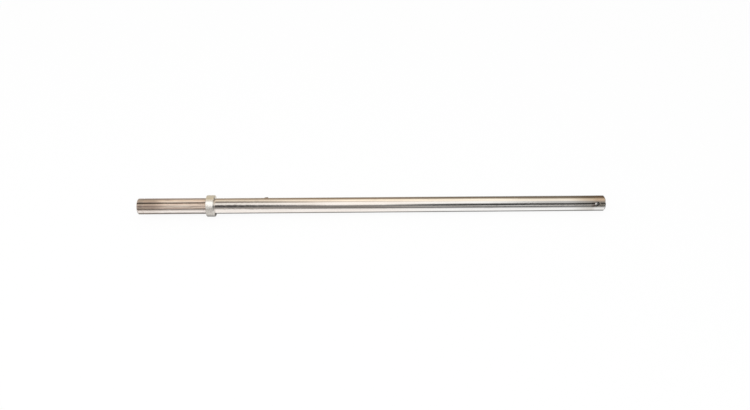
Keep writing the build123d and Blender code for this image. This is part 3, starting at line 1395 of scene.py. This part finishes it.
@dataclass
class StopCollar:
    """The ring pressed on the bar: rounded chamfers outside, broken edges at its bore."""

    left: float
    right: float
    bore_radius: float
    outer_radius: float
    chamfer: float = 1.2 * MILLI
    bore_break: float = 0.4 * MILLI
    rounding: float = 0.4 * MILLI
    middle_rounding: float = 1.0 * MILLI
    unevenness: float = 0.06 * MILLI
    # How often each wave goes up and down round the ring, and where it starts
    waves: tuple[tuple[int, float], ...] = ((7, 0.4), (13, 2.1), (22, 4.0))
    lines_round: int = 288
    corner_steps: int = 6
    sharp_degrees: float = 40.0

    def outline(self) -> np.ndarray:
        """Draws the ring's outline, once round from the bore, as place along the axis and radius.

        Returns:
            The points, as count by 2.
        """
        outer = self.outer_radius
        inner = self.bore_radius + self.bore_break
        bore_left, bore_right = self.left + self.bore_break, self.right - self.bore_break
        small = self.bore_break / 4
        middle = (self.left + self.right) / 2
        corners = (
            (middle, self.bore_radius, 0.0),
            (bore_left, self.bore_radius, small),
            (self.left, inner, small),
            (self.left, outer - self.chamfer, self.rounding),
            (self.left + self.chamfer, outer, self.rounding),
            (middle, outer, self.middle_rounding),
            (self.right - self.chamfer, outer, self.rounding),
            (self.right, outer - self.chamfer, self.rounding),
            (self.right, inner, small),
            (bore_right, self.bore_radius, small),
            (middle, self.bore_radius, 0.0),
        )
        return with_supports(rounded_corners(corners, self.corner_steps), self.rounding / 4)

    def build(self, effects: Effects) -> bpy.types.Object:
        """Makes the collar, dresses it and puts it in the place of the collar node.

        The outline is carried round the axis. Outside the bore the radius loses a little by slow waves,
        unevenness times the mean of three sines of the angle, so the rim isn't quite true.

        Args:
            effects: The shared node groups.

        Returns:
            The collar's object.
        """
        outline = self.outline()
        angle = np.linspace(0.0, 2.0 * np.pi, self.lines_round + 1)
        waves = np.mean([np.sin(count * angle + start) for count, start in self.waves], axis=0)
        wall = self.outer_radius - self.bore_radius
        outside = smooth_step((outline[:, 1] - self.bore_radius - self.bore_break) / (wall / 2))
        loss = self.unevenness * outside[:, None] * (0.5 + 0.5 * waves)
        skin = Skin()
        skin.add_patch(turned_points(outline[:, :1], outline[:, 1:] - loss, angle[None, :]))
        piece = skin.make_object("stop_collar", self.sharp_degrees)
        piece.data.materials.append(CollarFinish().make(effects, self))
        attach(piece, "root")
        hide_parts("collar")
        log.info("stop_collar: %d faces", len(piece.data.polygons))
        return piece


@dataclass(frozen=True)
class Band:
    """One band of light or dark on the studio's tent, which runs along the shaft.

    The tent is a half tube about the shaft's axis that only reflections see. Its angle is 0 at the
    horizon on the camera's side, 90 overhead and 180 at the horizon behind. A band reaches from its own
    start to the next band's. Starts and levels are given at the four stations.
    """

    name: str
    starts: tuple[float, float, float, float]
    softness: float
    colour: Colour
    levels: tuple[float, float, float, float]


STATIONS = (-0.55, 0.0, 0.55, 1.05)
BANDS = (
    Band("table_edge", (0, 0, 0, 0), 1, (1.0, 0.95, 0.90), (0.46, 0.17, 0.10, 0.07)),
    Band("low_wall", (10, 10, 9.5, 9.5), 3, (1.0, 0.98, 0.95), (0.24, 0.22, 0.55, 0.64)),
    Band("dark_room", (26, 30, 22, 22), 7, (1.0, 1.0, 1.0), (0.06, 0.30, 0.05, 0.05)),
    Band("lamp_side", (58, 43, 53.5, 51), 14, (1.0, 0.99, 0.97), (0.92, 1.08, 1.04, 0.52)),
    Band("lamp_gap", (84, 86, 84, 82), 8, (1.0, 0.92, 0.82), (0.28, 0.74, 0.95, 1.0)),
    Band("cream_ceiling", (115, 105, 98, 92), 14, (1.0, 0.91, 0.76), (0.88, 1.16, 1.15, 0.95)),
    Band("brown_wall", (141, 133, 132, 122), 34, (1.0, 0.80, 0.58), (0.34, 0.29, 0.21, 0.19)),
)


@dataclass
class Studio:
    """Floor, tent, sky, lamp and camera."""

    bar: SplinedBar
    collar: StopCollar
    # Tent, a little past half way round so that it meets the floor, and its rows and columns
    tent_radius: float = 2.4
    tent_reach: float = 14.0
    tent_degrees: float = 181.0
    tent_rows: int = 61
    tent_columns: int = 5
    sharp_degrees: float = 30.0
    # Camera, with its angles in degrees
    camera_elevation: float = 45.0
    camera_yaw: float = 3.0
    camera_roll: float = 0.43
    camera_distance: float = 1.2431
    focal_pixels: float = 760.0
    aim_drop: float = 0.45 * MILLI
    aim_right: float = 0.65 * MILLI
    sensor_width: float = 36.0
    view_reach: float = 200.0
    # Floor: how much of it is plain white, the fading of its paper in mirrors, and its painted shadow under
    # the bar in mirrors
    floor_reach: float = 40.0
    floor_keeps: float = 0.93
    paper_colour: Colour = (0.97, 0.97, 0.97)
    paper_full: float = 0.04
    paper_depth: float = 0.155
    paper_slant: float = 1.9
    table_level: float = 0.2
    under_bar: Ramp = Ramp(9.5, 19.5, 0.12, 1.0)
    # Sky and lamp
    sky_level: float = 0.72
    lamp_offset: tuple[float, float, float] = (-0.35, -0.7, 1.5)
    lamp_size: float = 1.4
    lamp_power: float = 11.5

    @property
    def middle(self) -> Vector:
        """The point on the axis half way along the bar."""
        return Vector(((self.bar.splined_end + self.bar.plain_end) / 2, 0.0, 0.0))

    def at_stations(self, tree: Tree, steps: Sequence[Socket], values: Sequence[float]) -> Socket:
        """Carries a value smoothly from station to station.

        The first value, plus each step from 0 to 1 times the difference between its two values.

        Args:
            tree: The material's tree.
            steps: The smooth step from each station to the next.
            values: The value at each station.

        Returns:
            The value along the tent.
        """
        result: Value = float(values[0])
        for step, before, after in zip(steps, values, values[1:]):
            result = tree.math("MULTIPLY_ADD", step, float(after - before), result)
        return result

    def rays(self, tree: Tree) -> tuple[Socket, Socket]:
        """Tells rays apart.

        Args:
            tree: The tree that asks.

        Returns:
            A mask of rays off a mirror or through glass, and one of these and the camera's together.
        """
        ray = tree.node("ShaderNodeLightPath").outputs
        mirror = tree.math("MAXIMUM", ray["Is Glossy Ray"], ray["Is Transmission Ray"])
        return mirror, tree.math("MAXIMUM", ray["Is Camera Ray"], mirror)

    def build_tent(self) -> None:
        """Makes the tent, a half tube about the axis whose bands are seen by reflections alone."""
        angle = np.radians(np.linspace(0.0, self.tent_degrees, self.tent_rows))[:, None]
        along = self.middle.x + np.linspace(-self.tent_reach, self.tent_reach, self.tent_columns)
        skin = Skin()
        skin.add_patch(turned_points(along, np.full_like(angle * along, self.tent_radius), np.pi - angle))
        tent = skin.make_object("tent", self.sharp_degrees)
        tree = MaterialTree("tent_bands")
        ahead = tree.math("MULTIPLY", tree.across, -1.0)
        round_axis = tree.math("DEGREES", tree.math("ARCTAN2", tree.height, ahead))
        ends = [self.middle.x + station for station in STATIONS]
        steps = [tree.between(tree.along, low, high) for low, high in zip(ends, ends[1:])]
        colour: Value = BANDS[0].colour
        for band in BANDS:
            start = self.at_stations(tree, steps, band.starts)
            past = tree.math("SUBTRACT", round_axis, start)
            share = tree.between(past, -band.softness / 2, band.softness / 2)
            level = self.at_stations(tree, steps, band.levels)
            values = {0: band.colour, "Scale": level}
            tone = tree.node("ShaderNodeVectorMath", values, operation="SCALE", label=band.name)
            colour = tree.blend(share, colour, tone.outputs[0])
        glow = tree.node("ShaderNodeEmission", {"Color": colour, "Strength": 1.0})
        tree.node("ShaderNodeOutputMaterial", {"Surface": glow.outputs[0]})
        tent.data.materials.append(tree.material)
        tent.visible_camera = False
        tent.visible_diffuse = False
        tent.visible_shadow = False

    def build_floor(self) -> None:
        """Makes the floor, leaning a little so that the collar and the plain end both rest on it.

        Its slope is the collar's radius less the bar's, over the run between the two edges that touch.
        Camera and mirror rays see it mostly as plain white paper, so it keeps a faint shadow. To the
        mirror the paper fades to a dim table past its depth, and shows a painted shadow right under the
        bar.
        """
        rest = self.collar.outer_radius
        run = self.bar.plain_end - self.bar.end_chamfer - self.collar.right + self.collar.chamfer
        slope = (rest - self.bar.radius) / run
        x = np.array((-self.floor_reach, self.floor_reach))[:, None]
        y = np.array((-self.floor_reach, self.floor_reach))[None, :]
        z = slope * (x - self.collar.right + self.collar.chamfer) - rest + 0 * y
        skin = Skin()
        skin.add_patch(np.stack(np.broadcast_arrays(x, y, z), axis=-1))
        floor = skin.make_object("floor", self.sharp_degrees)
        tree = MaterialTree("floor_paper")
        mirror, seen = self.rays(tree)
        across = tree.math("ABSOLUTE", tree.across)
        from_middle = tree.math("SUBTRACT", tree.along, self.middle.x)
        slant = tree.math("MULTIPLY_ADD", from_middle, self.paper_slant, 1.0)
        out = (1.0, self.table_level)
        fade = tree.between(tree.times(across, slant), self.paper_full, self.paper_depth, out)
        # Painted shadow right under the bar, seen only by mirrors
        mirrored = tree.times(fade, tree.ramp(across, self.under_bar))
        level = tree.math("MULTIPLY_ADD", tree.math("SUBTRACT", mirrored, 1.0), mirror, 1.0)
        glow = tree.node("ShaderNodeEmission", {"Color": WHITE, "Strength": level})
        paper = tree.node("ShaderNodeBsdfDiffuse", {"Color": self.paper_colour})
        share = tree.times(seen, self.floor_keeps)
        mixed = tree.node("ShaderNodeMixShader", {0: share, 1: paper.outputs[0], 2: glow.outputs[0]})
        tree.node("ShaderNodeOutputMaterial", {"Surface": mixed.outputs[0]})
        floor.data.materials.append(tree.material)

    def build_light(self) -> None:
        """Makes a plain pale sky, white to the camera and to mirrors, and one broad soft lamp."""
        world = bpy.data.worlds.new("sky")
        bpy.context.scene.world = world
        world.use_nodes = True
        tree = Tree(world.node_tree)
        _, seen = self.rays(tree)
        strength = tree.mix(seen, self.sky_level, 1.0)
        back = tree.node("ShaderNodeBackground", {"Color": WHITE, "Strength": strength})
        tree.node("ShaderNodeOutputWorld", {"Surface": back.outputs[0]})
        lamp = bpy.data.lights.new("soft_lamp", "AREA")
        lamp.shape = "DISK"
        lamp.size = self.lamp_size
        lamp.energy = self.lamp_power
        holder = bpy.data.objects.new("soft_lamp", lamp)
        holder.location = self.middle + Vector(self.lamp_offset)
        holder.rotation_euler = (self.middle - holder.location).to_track_quat("-Z", "Y").to_euler()
        holder.visible_glossy = False
        bpy.context.scene.collection.objects.link(holder)

    def build_camera(self) -> None:
        """Sets the camera at the photograph's distance, lens and angle, with the bar's middle centred.

        Its right is X less its part along the line of sight, turned by the roll, and its up is square to
        both.
        """
        data = bpy.data.cameras.new("camera")
        data.sensor_width = self.sensor_width
        data.lens = data.sensor_width * self.focal_pixels / PHOTO_WIDTH
        camera = bpy.data.objects.new("camera", data)
        up_angle, yaw = radians(self.camera_elevation), radians(self.camera_yaw)
        back = Vector((-sin(yaw), -cos(yaw) * cos(up_angle), cos(yaw) * sin(up_angle)))
        right = Vector((1.0, 0.0, 0.0)) - back * back.x
        right.normalize()
        right = Matrix.Rotation(radians(-self.camera_roll), 3, back) @ right
        up = back.cross(right)
        place = self.middle + back * self.camera_distance + right * self.aim_right - up * self.aim_drop
        turned = Matrix((right, up, back)).transposed().to_4x4()
        camera.matrix_world = Matrix.Translation(place) @ turned
        data.clip_end = self.view_reach
        bpy.context.scene.collection.objects.link(camera)
        bpy.context.scene.camera = camera

    def build(self) -> None:
        """Makes everything that isn't part of the object."""
        self.build_camera()
        self.build_floor()
        self.build_tent()
        self.build_light()
        bpy.context.scene.view_settings.view_transform = "Standard"
        log.info("studio: floor, a tent of %d bands, sky, lamp and camera", len(BANDS))


def main() -> None:
    """Builds the bar, the collar and the studio in order."""
    logging.basicConfig(level=logging.INFO)
    journal, hole = mount("journal"), mount("cross_hole")
    low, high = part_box("shaft")
    collar_low, collar_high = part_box("collar")
    effects = Effects()
    bar = SplinedBar(
        radius=journal["dims"]["r_mm"] * MILLI,
        splined_end=low[0],
        plain_end=high[0],
        collar_left=collar_low[0],
        collar_right=collar_high[0],
        hole_along=hole["pos_m"][0],
        hole_angle=float(np.arctan2(hole["axis"][2], hole["axis"][1])),
        hole_radius=hole["dims"]["r_mm"] * MILLI,
    )
    collar = StopCollar(bar.collar_left, bar.collar_right, bar.seat_radius, collar_high[2])
    bar.build(effects)
    collar.build(effects)
    Studio(bar, collar).build()


if __name__ == "__main__":
    main()
